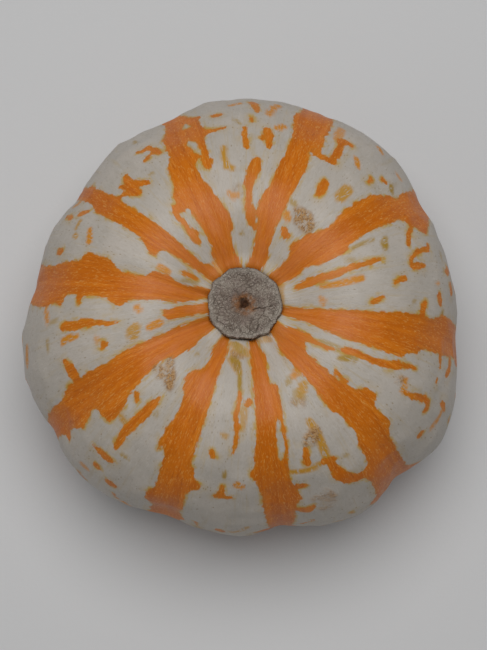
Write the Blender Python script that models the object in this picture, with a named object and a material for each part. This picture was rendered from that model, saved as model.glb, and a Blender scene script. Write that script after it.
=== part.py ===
"""Small ornamental pumpkin, a ribbed fruit with the dried stub of its stem.

Metres, +Z up. The fruit stands on z = 0 and the middle of its outline lies on the
Z axis. Two pieces: the fruit, grown as one, and the corky stem seated in a
shallow socket at the middle of the dished crown.
"""

import math

import bmesh
import bpy
import numpy as np

MM = 0.001

# ---------------------------------------------------------------- dimensions
# All in millimetres and degrees. Angles run counter-clockwise from +X, seen from above.

# Half section through an average rib: radius and height, from the crown under the
# stem, over the shoulder and the widest point, round to the blossom end below.
RIB_PROFILE = (
    (0.0, 56.3),      # middle of the crown, under the stem
    (6.0, 56.7),
    (10.0, 58.7),     # edge of the stem
    (13.5, 60.9),
    (18.0, 63.1),
    (23.5, 64.4),     # top of the shoulder
    (31.0, 63.4),
    (39.0, 59.2),
    (46.5, 51.6),
    (51.8, 42.0),
    (54.0, 31.5),     # widest point
    (52.6, 20.8),
    (47.8, 11.6),
    (40.0, 4.6),
    (31.0, 0.7),
    (24.5, -0.5),     # ring that the fruit stands on, flattened at z = 0
    (16.0, 0.9),
    (8.5, 3.4),
    (3.5, 4.7),
    (0.0, 5.0),       # middle of the blossom end
)
EQUATOR_RADIUS = 54.0

# The ten furrows between the ribs. They leave the stem at one set of angles and
# bend a little on their way down to the widest point.
FURROW_ANGLES_TOP = (33, 72, 112, 146, 167, 205, 242, 284, 310, 352)
FURROW_ANGLES_SIDE = (34, 68, 112, 145, 171, 210, 248, 280, 314, 353)
FURROW_DEPTHS = (1.5, 1.2, 1.6, 1.5, 1.7, 2.5, 1.9, 1.8, 2.2, 1.8)
FURROW_SOFTNESS = 2.6          # degrees over which the bottom of a furrow is rounded

# How far each rib's crest reaches out at the widest point. Rib n lies between
# furrow n and the next one.
RIB_REACH = (57.5, 58.1, 55.5, 54.2, 56.7, 56.2, 53.1, 55.5, 57.0, 54.3)

# Where the stem stands, measured from the middle of the outline.
STEM_AXIS = (0.9, -2.6)

# Stem: a flared, ten-cornered stub. Its corners run into the furrows.
STEM_CORNER_RADII = (9.3, 9.2, 9.3, 9.2, 9.1, 9.2, 9.0, 8.9, 9.1, 9.3)
STEM_FLAT = 0.955              # middle of a side, as a fraction of the corners' radius
STEM_BOTTOM = 54.4
STEM_TOP = 60.5
PITH_RADIUS = 1.7
PITH_DEPTH = 2.6

# Socket in the crown, and the gap that it keeps to the stem.
SOCKET_DEPTH_Z = 54.1
SOCKET_TOP_Z = 59.5
SEAT_GAP = 0.3
STEM_SEAT_SCALE = 0.94         # the seated part of the stem, as a fraction of its flared top

# Resolution. Each rib has a column at each of these fractions of its width, the first in its furrow.
COLUMNS_IN_RIB = (0.0, 0.06, 0.16, 0.32, 0.50, 0.68, 0.84, 0.94)
FRUIT_ROWS = 36
STEM_COLUMNS_IN_SIDE = 4

# -------------------------------------------------------------------- curves


def cubic_slopes(knots, values, first_slope, last_slope):
    """Slopes at the knots of the C2 cubic spline with the given end slopes."""
    count = len(knots)
    step = np.diff(knots)
    rate = np.diff(values) / step
    system = np.eye(count)
    right = np.zeros(count)
    right[0], right[-1] = first_slope, last_slope
    for i in range(1, count - 1):
        system[i, i - 1:i + 2] = step[i], 2.0 * (step[i - 1] + step[i]), step[i - 1]
        right[i] = 3.0 * (rate[i - 1] * step[i] + rate[i] * step[i - 1])
    return np.linalg.solve(system, right)


def cubic_at(knots, values, slopes, x):
    i = np.clip(np.searchsorted(knots, x, side="right") - 1, 0, len(knots) - 2)
    step = knots[i + 1] - knots[i]
    u = (x - knots[i]) / step
    return (
        (2 * u**3 - 3 * u**2 + 1) * values[i]
        + (u**3 - 2 * u**2 + u) * step * slopes[i]
        + (3 * u**2 - 2 * u**3) * values[i + 1]
        + (u**3 - u**2) * step * slopes[i + 1]
    )


class Section:
    """The rib profile as a smooth curve, read by the fraction t of its length."""

    def __init__(self, points):
        p = np.array(points, float)
        chord = np.hypot(*np.diff(p, axis=0).T)
        knots = np.concatenate([[0.0], np.cumsum(np.sqrt(chord))])
        first = (p[1, 0] - p[0, 0]) / (knots[1] - knots[0])
        last = (p[-1, 0] - p[-2, 0]) / (knots[-1] - knots[-2])
        fine = np.linspace(0.0, knots[-1], 2001)
        radius = cubic_at(knots, p[:, 0], cubic_slopes(knots, p[:, 0], first, last), fine)
        height = cubic_at(knots, p[:, 1], cubic_slopes(knots, p[:, 1], 0.0, 0.0), fine)
        run = np.concatenate([[0.0], np.cumsum(np.hypot(np.diff(radius), np.diff(height)))])
        self.t = run / run[-1]
        self.radius, self.height = radius, height
        across, down = np.gradient(radius, self.t), np.gradient(height, self.t)
        size = np.hypot(across, down)
        self.normal_r, self.normal_z = -down / size, across / size
        self.equator_t = float(self.t[np.argmax(radius)])

    def at(self, t):
        return [float(np.interp(t, self.t, v)) for v in (self.radius, self.height, self.normal_r, self.normal_z)]


def smooth(low, high, x):
    u = min(max((x - low) / (high - low), 0.0), 1.0)
    return u * u * (3.0 - 2.0 * u)


def mix(a, b, f):
    return a + (b - a) * f


def periodic_cubic(angles, values, angle):
    """Smooth closed curve through values at angles, read at angle (degrees)."""
    n = len(angles)
    order = sorted(range(n), key=lambda i: angles[i] % 360.0)
    a = [angles[i] % 360.0 for i in order]
    v = [values[i] for i in order]
    laps = 3                                     # three laps make the middle one periodic
    knots = np.array([x + 360.0 * lap for lap in range(laps) for x in a])
    level = np.array(v * laps, float)
    slopes = cubic_slopes(knots, level, 0.0, 0.0)
    return float(cubic_at(knots, level, slopes, np.array([angle % 360.0 + 360.0]))[0])


# --------------------------------------------------------------------- fruit
SECTION = Section(RIB_PROFILE)
RIBS = len(FURROW_ANGLES_SIDE)
RIB_MIDDLES = [
    FURROW_ANGLES_SIDE[i] + ((FURROW_ANGLES_SIDE[(i + 1) % RIBS] - FURROW_ANGLES_SIDE[i]) % 360) / 2
    for i in range(RIBS)
]


def furrow_angles(t):
    """The furrows' angles at t: they leave the stem at one set and bend to the other."""
    bend = smooth(0.10, 0.42, t)
    return [mix(a, b, bend) for a, b in zip(FURROW_ANGLES_TOP, FURROW_ANGLES_SIDE)]


def furrow_fade(t):
    """Depth of the furrows along t, relative to the widest point."""
    stations = (0.0, 0.06, 0.16, 0.30, SECTION.equator_t, 0.70, 0.80, 0.88, 0.95, 1.0)
    depths = (0.0, 0.40, 0.48, 0.72, 1.0, 1.05, 0.85, 0.45, 0.08, 0.0)
    return float(np.interp(t, stations, depths))


def reach_fade(t):
    """How much of a rib's own reach applies at t: none at the stem and the blossom end."""
    return smooth(0.06, SECTION.equator_t * 0.92, t) * (1.0 - smooth(0.80, 1.0, t))


def rib_swell(fraction, half_width):
    """0 in the furrow and 1 on the crest, round over the rib, soft in the furrow."""
    away = min(fraction, 1.0 - fraction) * 2.0 * half_width
    rounded = math.hypot(away, FURROW_SOFTNESS) - FURROW_SOFTNESS
    full = math.hypot(half_width, FURROW_SOFTNESS) - FURROW_SOFTNESS
    return 1.0 - (1.0 - rounded / full) ** 2.1


def fruit_point(rib, fraction, t):
    """Point on the skin, a fraction of the way across a rib, at t along the section."""
    furrows = furrow_angles(t)
    width = (furrows[(rib + 1) % RIBS] - furrows[rib]) % 360.0
    angle = furrows[rib] + fraction * width
    radius, height, out_r, out_z = SECTION.at(t)
    reach = periodic_cubic(RIB_MIDDLES, RIB_REACH, angle) / EQUATOR_RADIUS
    depth = mix(FURROW_DEPTHS[rib], FURROW_DEPTHS[(rib + 1) % RIBS], fraction)
    sink = depth * (1.0 - rib_swell(fraction, width / 2.0)) * furrow_fade(t)
    r = max(radius * mix(1.0, reach, reach_fade(t)) - sink * out_r, 0.0)
    z = height - sink * out_z
    a = math.radians(angle)
    return (STEM_AXIS[0] + r * math.cos(a), STEM_AXIS[1] + r * math.sin(a), z)


def fruit_vertex(row, column):
    rib, place = divmod(column, len(COLUMNS_IN_RIB))
    return fruit_point(rib, COLUMNS_IN_RIB[place], row / FRUIT_ROWS)


# ---------------------------------------------------------------------- stem
def stem_outline(column, columns):
    """Angle and radius of the stem's ten-cornered outline."""
    side, place = divmod(column, columns // RIBS)
    fraction = place / (columns // RIBS)
    start = FURROW_ANGLES_TOP[side]
    angle = start + fraction * ((FURROW_ANGLES_TOP[(side + 1) % RIBS] - start) % 360)
    corner = mix(STEM_CORNER_RADII[side], STEM_CORNER_RADII[(side + 1) % RIBS], fraction)
    dip = 4.0 * fraction * (1.0 - fraction)
    return math.radians(angle), corner * mix(1.0, STEM_FLAT, dip)


# Rings of the stem, bottom to top and down into the pith: (fraction of the outline, height).
STEM_RINGS = (
    (0.0, STEM_BOTTOM),
    (0.45, STEM_BOTTOM),
    (0.90, STEM_BOTTOM),
    (STEM_SEAT_SCALE, STEM_BOTTOM + 0.5),
    (STEM_SEAT_SCALE, 58.1),
    (0.955, 59.0),
    (0.98, 59.6),
    (1.0, STEM_TOP - 0.40),
    (0.975, STEM_TOP),
    (0.60, STEM_TOP - 0.1),
    (0.27, STEM_TOP - 0.5),
    (0.17, STEM_TOP - 1.3),
    (0.10, STEM_TOP - PITH_DEPTH),
    (0.0, STEM_TOP - PITH_DEPTH),
)


def stem_vertex(row, column):
    scale, height = STEM_RINGS[::-1][row]
    columns = RIBS * STEM_COLUMNS_IN_SIDE
    angle, radius = stem_outline(column, columns)
    if scale < 0.3:                              # the pith is round
        radius = PITH_RADIUS / 0.17
    r = radius * scale
    return (STEM_AXIS[0] + r * math.cos(angle), STEM_AXIS[1] + r * math.sin(angle), height)


def socket_vertex(row, column):
    """The seated part of the stem, grown by the gap and run up out of the crown."""
    rows = ((0.0, SOCKET_TOP_Z), (1.0, SOCKET_TOP_Z), (1.0, SOCKET_DEPTH_Z), (0.0, SOCKET_DEPTH_Z))
    scale, height = rows[row]
    angle, radius = stem_outline(column, RIBS * STEM_COLUMNS_IN_SIDE)
    r = (radius * STEM_SEAT_SCALE + SEAT_GAP) * scale
    return (STEM_AXIS[0] + r * math.cos(angle), STEM_AXIS[1] + r * math.sin(angle), height)


# --------------------------------------------------------------------- build
def clear_scene():
    for obj in list(bpy.data.objects):
        bpy.data.objects.remove(obj, do_unlink=True)


def collection(name):
    made = bpy.data.collections.new(name)
    bpy.context.scene.collection.children.link(made)
    return made


def material(name, colour, roughness):
    made = bpy.data.materials.new(name)
    made.use_nodes = True
    shader = made.node_tree.nodes["Principled BSDF"]
    shader.inputs["Base Color"].default_value = (*colour, 1.0)
    shader.inputs["Roughness"].default_value = roughness
    shader.inputs["Metallic"].default_value = 0.0
    return made


def moulded_sphere(name, columns, rows, place, where):
    """A sphere primitive, its rings and columns moved to place(row, column), in millimetres."""
    cage = bmesh.new()
    bmesh.ops.create_uvsphere(cage, u_segments=columns, v_segments=rows, radius=1.0)
    for v in cage.verts:
        row = round(math.acos(min(max(v.co.z, -1.0), 1.0)) / math.pi * rows)
        column = round(math.atan2(v.co.y, v.co.x) / math.tau * columns) % columns
        v.co = [MM * c for c in place(row, column)]
    mesh = bpy.data.meshes.new(name)
    cage.to_mesh(mesh)
    cage.free()
    obj = bpy.data.objects.new(name, mesh)
    where.objects.link(obj)
    return obj


def smooth_shade(obj, sharp_degrees):
    obj.data.shade_smooth()
    obj.data.set_sharp_from_angle(angle=math.radians(sharp_degrees))


def cutter_look(obj):
    obj.hide_render = True
    obj.display_type = "WIRE"


def cut(obj, cutter):
    made = obj.modifiers.new("Cut " + cutter.name, "BOOLEAN")
    made.operation = "DIFFERENCE"
    made.solver = "EXACT"
    made.object = cutter
    return made


def build():
    clear_scene()
    parts = collection("pumpkin")
    cutters = collection("pumpkin_cutters")

    skin = material("fruit_skin", (0.62, 0.42, 0.26), 0.42)
    cork = material("stem_cork", (0.33, 0.28, 0.24), 0.9)

    fruit = moulded_sphere(
        "pumpkin_fruit", RIBS * len(COLUMNS_IN_RIB), FRUIT_ROWS, fruit_vertex, parts
    )
    fruit.data.materials.append(skin)
    smooth_shade(fruit, 40)

    stem = moulded_sphere(
        "stem", RIBS * STEM_COLUMNS_IN_SIDE, len(STEM_RINGS) - 1, stem_vertex, parts
    )
    stem.data.materials.append(cork)
    smooth_shade(stem, 50)

    socket = moulded_sphere("socket_cutter", RIBS * STEM_COLUMNS_IN_SIDE, 3, socket_vertex, cutters)
    cutter_look(socket)

    # Everything below z = 0 comes away, which leaves a small flat on each rib.
    slab_size, slab_height = 160.0 * MM, 20.0 * MM
    bm = bmesh.new()
    bmesh.ops.create_cube(bm, size=1.0)
    bmesh.ops.scale(bm, vec=(slab_size, slab_size, slab_height), verts=bm.verts)
    slab_mesh = bpy.data.meshes.new("ground_cutter")
    bm.to_mesh(slab_mesh)
    bm.free()
    slab = bpy.data.objects.new("ground_cutter", slab_mesh)
    slab.location = (0.0, 0.0, -slab_height / 2.0)
    cutters.objects.link(slab)
    cutter_look(slab)

    cut(fruit, slab)
    cut(fruit, socket)


build()
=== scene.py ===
"""Looks for the small striped pumpkin: the fine skin with its stripes and flecks, and the dried stem.

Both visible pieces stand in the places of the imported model's nodes. Lengths in the
tables are millimetres and angles are degrees, counter-clockwise from +X seen from above.
A place on the skin is given by its azimuth and by t, the fraction of the way from the
middle of the crown, down a rib's section, to the blossom end.
"""

import math
import random

import bpy
import numpy as np
from mathutils import Matrix, Vector


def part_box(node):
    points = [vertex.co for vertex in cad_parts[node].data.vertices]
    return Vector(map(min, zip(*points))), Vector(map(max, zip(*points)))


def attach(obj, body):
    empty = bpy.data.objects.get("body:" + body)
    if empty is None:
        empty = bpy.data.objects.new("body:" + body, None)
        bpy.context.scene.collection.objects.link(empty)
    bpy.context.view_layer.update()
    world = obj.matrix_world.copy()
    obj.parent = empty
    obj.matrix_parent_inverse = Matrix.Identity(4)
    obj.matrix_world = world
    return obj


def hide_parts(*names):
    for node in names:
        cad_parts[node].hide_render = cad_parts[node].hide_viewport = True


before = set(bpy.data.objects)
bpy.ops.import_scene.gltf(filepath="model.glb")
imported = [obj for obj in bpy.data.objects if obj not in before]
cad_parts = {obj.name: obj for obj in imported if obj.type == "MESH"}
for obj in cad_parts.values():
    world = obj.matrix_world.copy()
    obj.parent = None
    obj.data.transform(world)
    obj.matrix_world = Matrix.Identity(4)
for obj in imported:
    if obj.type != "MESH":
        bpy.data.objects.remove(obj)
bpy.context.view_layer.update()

MM = 0.001

# ------------------------------------------------------------------ the shape
RIB_PROFILE = (
    (0.0, 56.3), (6.0, 56.7), (10.0, 58.7), (13.5, 60.9), (18.0, 63.1), (23.5, 64.4), (31.0, 63.4),
    (39.0, 59.2), (46.5, 51.6), (51.8, 42.0), (54.0, 31.5), (52.6, 20.8), (47.8, 11.6), (40.0, 4.6),
    (31.0, 0.7), (24.5, -0.5), (16.0, 0.9), (8.5, 3.4), (3.5, 4.7), (0.0, 5.0),
)
EQUATOR_RADIUS = 54.0
FURROWS_TOP = np.array((33, 72, 112, 146, 167, 205, 242, 284, 310, 352), float)
FURROWS_SIDE = np.array((34, 68, 112, 145, 171, 210, 248, 280, 314, 353), float)
FURROW_DEPTHS = np.array((1.5, 1.2, 1.6, 1.5, 1.7, 2.5, 1.9, 1.8, 2.2, 1.8))
FURROW_SOFTNESS = 2.6
RIB_REACH = np.array((57.5, 58.1, 55.5, 54.2, 56.7, 56.2, 53.1, 55.5, 57.0, 54.3))
STEM_CORNER_RADII = np.array((9.3, 9.2, 9.3, 9.2, 9.1, 9.2, 9.0, 8.9, 9.1, 9.3))
STEM_FLAT = 0.955
RIBS = 10

COLUMNS_PER_RIB = 46
ROWS = 214
STEM_WALL = 0.95


def cubic_slopes(knots, values, first, last):
    count = len(knots)
    step = np.diff(knots)
    rate = np.diff(values) / step
    system = np.eye(count)
    right = np.zeros(count)
    right[0], right[-1] = first, last
    for i in range(1, count - 1):
        system[i, i - 1:i + 2] = step[i], 2.0 * (step[i - 1] + step[i]), step[i - 1]
        right[i] = 3.0 * (rate[i - 1] * step[i] + rate[i] * step[i - 1])
    return np.linalg.solve(system, right)


def cubic_at(knots, values, slopes, x):
    i = np.clip(np.searchsorted(knots, x, side="right") - 1, 0, len(knots) - 2)
    step = knots[i + 1] - knots[i]
    u = (x - knots[i]) / step
    return (
        (2 * u**3 - 3 * u**2 + 1) * values[i] + (u**3 - 2 * u**2 + u) * step * slopes[i]
        + (3 * u**2 - 2 * u**3) * values[i + 1] + (u**3 - u**2) * step * slopes[i + 1]
    )


class Section:
    """The rib profile as a smooth curve, read by the fraction t of its length."""

    def __init__(self, points):
        p = np.array(points, float)
        knots = np.concatenate([[0.0], np.cumsum(np.sqrt(np.hypot(*np.diff(p, axis=0).T)))])
        first = (p[1, 0] - p[0, 0]) / (knots[1] - knots[0])
        last = (p[-1, 0] - p[-2, 0]) / (knots[-1] - knots[-2])
        fine = np.linspace(0.0, knots[-1], 4001)
        self.radius = cubic_at(knots, p[:, 0], cubic_slopes(knots, p[:, 0], first, last), fine)
        self.height = cubic_at(knots, p[:, 1], cubic_slopes(knots, p[:, 1], 0.0, 0.0), fine)
        run = np.concatenate([[0.0], np.cumsum(np.hypot(np.diff(self.radius), np.diff(self.height)))])
        self.length = run[-1]
        self.t = run / run[-1]
        across, down = np.gradient(self.radius, self.t), np.gradient(self.height, self.t)
        size = np.hypot(across, down)
        self.normal_r, self.normal_z = -down / size, across / size
        self.equator = float(self.t[np.argmax(self.radius)])

    def at(self, t):
        return [np.interp(t, self.t, v) for v in (self.radius, self.height, self.normal_r, self.normal_z)]


def smooth(low, high, x):
    u = np.clip((x - low) / (high - low), 0.0, 1.0)
    return u * u * (3.0 - 2.0 * u)


def mix(a, b, f):
    return a + (b - a) * f


SECTION = Section(RIB_PROFILE)
ARC = SECTION.length


def closed_curve(angles, values, angle):
    order = np.argsort(angles % 360.0)
    a, v = (angles % 360.0)[order], values[order]
    knots = np.concatenate([a, a + 360.0, a + 720.0])
    level = np.concatenate([v, v, v])
    return cubic_at(knots, level, cubic_slopes(knots, level, 0.0, 0.0), angle % 360.0 + 360.0)


def value_noise(points, size, seed):
    """Smooth noise in -1..1 with lumps of the given size; points is (..., 3)."""
    p = np.asarray(points, float) / size + 1000.0
    cell = np.floor(p).astype(np.int64)
    f = p - cell
    f = f * f * f * (f * (f * 6.0 - 15.0) + 10.0)
    total = 0.0
    for corner in range(8):
        offset = np.array([corner & 1, (corner >> 1) & 1, (corner >> 2) & 1])
        c = cell + offset
        h = (c[..., 0] * 73856093) ^ (c[..., 1] * 19349663) ^ (c[..., 2] * 83492791) ^ (seed * 2654435761)
        h = (h ^ (h >> 13)) * 1274126177 & 0x7FFFFFFF
        h = (h ^ (h >> 16)) & 0xFFFF
        weight = np.ones(f.shape[:-1])
        for axis in range(3):
            weight = weight * (f[..., axis] if offset[axis] else 1.0 - f[..., axis])
        total = total + weight * (h / 32767.5 - 1.0)
    return total


# ------------------------------------------------------- stripes on the skin
# Each stripe follows a furrow. Its left and right edges are (t, azimuth) stations.
STRIPES = (
    (   # 1
        ((.060, 31), (.07, 29.4), (.08, 28.2), (.09, 27.2), (.10, 27.2), (.108, 28), (.112, 29.6), (.12, 29.4),
         (.13, 28.7), (.14, 26.7), (.15, 26), (.17, 25.8), (.19, 25.7), (.197, 26.5), (.202, 28.9), (.22, 29.2),
         (.24, 29.6), (.26, 29.9), (.30, 29.7), (.32, 29.6), (.328, 28.9), (.334, 26.6), (.345, 25.8),
         (.352, 24.8), (.36, 23.4), (.367, 23), (.375, 23.2), (.38, 23.8), (.39, 25), (.40, 25.8), (.41, 26.5),
         (.42, 27.7), (.44, 28.4)),
        ((.060, 49), (.07, 50), (.08, 48.8), (.09, 47.6), (.10, 46.9), (.112, 46.6), (.118, 47.4), (.122, 51),
         (.13, 51.5), (.138, 50.3), (.145, 48.8), (.158, 47.4), (.165, 46), (.17, 44), (.18, 42.6), (.19, 41.9),
         (.20, 41.9), (.21, 42.6), (.23, 42.8), (.25, 42.7), (.27, 41.9), (.29, 41.2), (.30, 40.7), (.31, 40),
         (.315, 38.8), (.33, 38.9), (.335, 37.8), (.345, 36.6), (.36, 37), (.38, 37.3), (.40, 37.3), (.42, 37),
         (.45, 38)),
    ),
    (   # 2
        ((.06, 65), (.07, 63.7), (.08, 62.9), (.09, 63.2), (.10, 64.6), (.105, 66.3), (.12, 66.8), (.14, 67),
         (.15, 66.8), (.19, 66.3), (.22, 65.8), (.24, 65.6), (.26, 65.8), (.28, 66.5), (.29, 66.8), (.296, 66),
         (.30, 64), (.32, 64.1), (.33, 64.9), (.34, 65.3), (.35, 64.6), (.36, 64.8), (.38, 65.3), (.40, 65.4),
         (.42, 65.8), (.44, 65.8)),
        ((.06, 84), (.066, 88), (.072, 87.5), (.075, 84.8), (.08, 83.4), (.09, 81.7), (.10, 81), (.12, 80.7),
         (.14, 81), (.15, 82), (.165, 82.2), (.178, 81.2), (.19, 80), (.20, 78), (.21, 77.4), (.22, 77.1),
         (.24, 76.4), (.26, 75.4), (.28, 75), (.30, 74.8), (.32, 75), (.34, 75.4), (.35, 75.9), (.37, 76.2),
         (.38, 75.7), (.386, 74.9), (.40, 74.8), (.42, 74.5), (.45, 74.8)),
    ),
    (   # 3
        ((.06, 95), (.066, 93.3), (.072, 94), (.08, 95.5), (.085, 98.3), (.09, 100), (.10, 100.4), (.11, 101.2),
         (.124, 101), (.13, 98.3), (.14, 98.3), (.148, 99), (.16, 100.4), (.17, 101.9), (.18, 103.6),
         (.19, 105.2), (.20, 106.4), (.21, 107.2), (.22, 108.1), (.23, 108.8), (.24, 109.3), (.25, 109.1),
         (.258, 107.9), (.263, 106), (.27, 103.6), (.29, 103.4), (.30, 103), (.31, 102.3), (.32, 101.6),
         (.33, 102.4), (.34, 103), (.36, 103.3), (.377, 102.6), (.385, 104.5), (.395, 105.5), (.42, 107),
         (.44, 107.8)),
        ((.06, 126), (.07, 124.5), (.09, 124.1), (.10, 123.9), (.105, 122.7), (.113, 120.4), (.13, 119.8),
         (.15, 120), (.17, 120.6), (.184, 121.2), (.187, 128.5), (.195, 129), (.203, 127.6), (.205, 124.4),
         (.215, 123.7), (.22, 123), (.23, 121.3), (.24, 120.8), (.25, 120.3), (.26, 119.8), (.27, 118.6),
         (.28, 117.4), (.30, 116.2), (.32, 116), (.34, 116), (.35, 115.7), (.36, 114.6), (.38, 113.4),
         (.40, 112.9), (.42, 112.8), (.45, 113.5)),
    ),
    (   # 4
        ((.06, 130), (.072, 128.5), (.085, 129), (.094, 132), (.098, 135.2), (.11, 136.2), (.13, 137.1),
         (.15, 137.1), (.17, 137.4), (.19, 138.1), (.20, 138.3), (.22, 138.6), (.24, 139.3), (.284, 139.4),
         (.293, 138.1), (.30, 139), (.312, 139.2), (.32, 139.8), (.35, 140.1), (.37, 140), (.39, 139.5),
         (.40, 140.5), (.42, 140.7), (.44, 140.5)),
        ((.06, 144.5), (.07, 145), (.09, 144.8), (.10, 145), (.12, 145.8), (.14, 146.3), (.16, 147),
         (.166, 148.2), (.17, 152.6), (.175, 153.1), (.182, 152.9), (.188, 152), (.195, 150.3), (.20, 149.1),
         (.21, 148.2), (.23, 147.7), (.25, 147.5), (.28, 147.3), (.32, 147), (.335, 146.5), (.345, 145.8),
         (.35, 145), (.37, 144.9), (.40, 144.9), (.43, 144.8), (.45, 145.5)),
    ),
    (   # 5
        ((.06, 157), (.066, 155.4), (.08, 158.3), (.09, 160.2), (.10, 161.9), (.11, 162.6), (.125, 163),
         (.132, 160.9), (.14, 160.4), (.155, 160.4), (.165, 161.4), (.172, 165), (.18, 165.7), (.20, 166),
         (.215, 165.7), (.225, 164.8), (.235, 162.4), (.245, 161.6), (.26, 161.6), (.275, 161), (.285, 160.9),
         (.293, 161.9), (.297, 163.8), (.30, 164.3), (.32, 164.8), (.34, 165.2), (.36, 165.6), (.38, 166.2),
         (.40, 166.2), (.42, 166), (.43, 165.2), (.45, 165)),
        ((.06, 170), (.07, 171.8), (.08, 174.8), (.09, 177.2), (.10, 179.2), (.12, 180.1), (.15, 179.7),
         (.18, 179.6), (.195, 180), (.205, 182), (.215, 181.7), (.225, 180.2), (.23, 178.4), (.24, 177.6),
         (.26, 177.2), (.273, 177.4), (.278, 180.3), (.284, 180), (.288, 176.8), (.30, 176), (.312, 176),
         (.316, 178), (.32, 179.6), (.33, 178.8), (.34, 178.4), (.36, 179), (.38, 178.6), (.40, 177.9),
         (.42, 177.2), (.45, 176.2)),
    ),
    (   # 6
        ((.06, 198.5), (.08, 198), (.10, 199), (.12, 200), (.15, 201.5), (.18, 202), (.20, 202), (.22, 202.6),
         (.24, 203.4), (.25, 203.6), (.27, 203.1), (.30, 203.6), (.33, 203.4), (.35, 204.3), (.36, 205.8),
         (.37, 206.3), (.40, 206.3), (.45, 206.7)),
        ((.06, 219), (.08, 219), (.10, 219.5), (.115, 221.6), (.125, 221.8), (.135, 220.4), (.15, 220.2),
         (.158, 219), (.163, 217), (.18, 216), (.19, 217.3), (.20, 217.5), (.22, 218.3), (.24, 218.5),
         (.25, 220), (.262, 221.4), (.28, 221.6), (.30, 221.4), (.304, 220), (.307, 216), (.31, 214.7),
         (.32, 214.7), (.33, 215.6), (.34, 215.9), (.35, 216.2), (.355, 217.2), (.36, 216), (.37, 215.4),
         (.38, 214.7), (.40, 214.2), (.407, 216), (.417, 216), (.422, 214), (.44, 213.2), (.45, 213)),
    ),
    (   # 7
        ((.06, 236), (.07, 234.6), (.09, 234.9), (.10, 236.4), (.11, 238.4), (.13, 239), (.14, 236.5),
         (.147, 233.5), (.152, 232), (.16, 232.2), (.17, 233.4), (.18, 235.1), (.187, 237), (.195, 237.9),
         (.21, 238.5), (.23, 238.7), (.25, 238), (.27, 238.5), (.28, 239.2), (.285, 241.3), (.30, 242.5),
         (.33, 242.7), (.36, 243.2), (.372, 243.0), (.385, 241.6), (.408, 241.5), (.425, 243.4), (.44, 244.3)),
        ((.06, 246), (.07, 247.5), (.08, 249.5), (.088, 251.4), (.10, 250.9), (.15, 250.9), (.18, 251.8),
         (.24, 251.9), (.26, 251.6), (.28, 251.8), (.295, 252.1), (.302, 253.3), (.31, 253.8), (.32, 253.9),
         (.328, 255.7), (.335, 257.1), (.342, 255.7), (.348, 254.2), (.36, 252.6), (.38, 252.5), (.40, 252.8),
         (.42, 252.3), (.44, 251.5)),
    ),
    (   # 8
        ((.06, 275.2), (.08, 275.8), (.10, 275.6), (.12, 275.9), (.15, 275.6), (.18, 275.4), (.20, 275.2),
         (.22, 274.9), (.24, 274.4), (.26, 273.9), (.28, 273.5), (.292, 273), (.297, 271.6), (.304, 271.8),
         (.31, 272.7), (.32, 273.7), (.34, 274.5), (.36, 275.3), (.38, 275.3), (.40, 275.6), (.44, 276)),
        ((.06, 287.4), (.08, 290), (.09, 291.2), (.10, 291.7), (.11, 290.3), (.12, 288.8), (.13, 287.9),
         (.14, 287.2), (.148, 287.8), (.152, 291.8), (.16, 291), (.17, 290.5), (.18, 289.8), (.20, 288.6),
         (.22, 287.9), (.24, 286.9), (.26, 286.6), (.275, 285.9), (.285, 285.2), (.32, 284.8), (.332, 285.6),
         (.35, 286.4), (.37, 286.9), (.38, 286.6), (.386, 285.2), (.40, 284.6), (.44, 284.2)),
    ),
    (   # 9
        ((.06, 312), (.075, 311.5), (.085, 309.4), (.10, 306.8), (.12, 306.8), (.14, 307.2), (.15, 307.7),
         (.18, 308.5), (.20, 308), (.22, 308), (.235, 308.2), (.243, 309.7), (.25, 310.4), (.28, 310.5),
         (.30, 309.9), (.308, 308.8), (.33, 308.5), (.35, 308.4), (.355, 306), (.36, 304.8), (.37, 305),
         (.38, 305.8), (.39, 306.5), (.45, 306.4)),
        ((.06, 334), (.066, 333), (.075, 331), (.085, 332), (.10, 334), (.115, 333.5), (.122, 331), (.127, 326),
         (.132, 321.2), (.14, 320.3), (.16, 320), (.18, 319.7), (.20, 320), (.215, 321), (.235, 321.9),
         (.242, 324.4), (.25, 325), (.262, 325.3), (.268, 324), (.273, 322.3), (.28, 321.4), (.30, 321.4),
         (.315, 321.2), (.325, 319.5), (.34, 318), (.36, 317.7), (.40, 317.4), (.45, 317.5)),
    ),
    (   # 10
        ((.06, 347), (.07, 344), (.08, 343), (.10, 343), (.12, 341), (.14, 340), (.16, 339.6), (.18, 339.2),
         (.20, 339.6), (.25, 340.4), (.27, 340.5), (.28, 341.2), (.29, 343.6), (.30, 344), (.31, 344.5),
         (.32, 346.4), (.33, 347), (.38, 347.4), (.40, 347.9), (.43, 348.8), (.45, 348.5)),
        ((.06, 358.5), (.072, 357.5), (.08, 357), (.09, 356.2), (.10, 355.7), (.12, 355.5),
         (.15, 355), (.20, 355.5), (.25, 356.8), (.27, 357.2), (.30, 357.4), (.33, 357.2), (.34, 357),
         (.36, 357.9), (.375, 359.3), (.39, 359), (.40, 358.8), (.42, 358.6), (.45, 358)),
    ),
)

# Secondary stripe that only runs over the crown, beside stripe 5.
CROWN_STRIPE = (
    ((.06, 176), (.066, 177), (.08, 179.5), (.09, 181), (.10, 182), (.12, 183.5), (.13, 185.5), (.142, 187)),
    ((.06, 196), (.066, 196), (.08, 193), (.10, 193.3), (.12, 194), (.135, 193.8), (.146, 190)),
)

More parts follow.
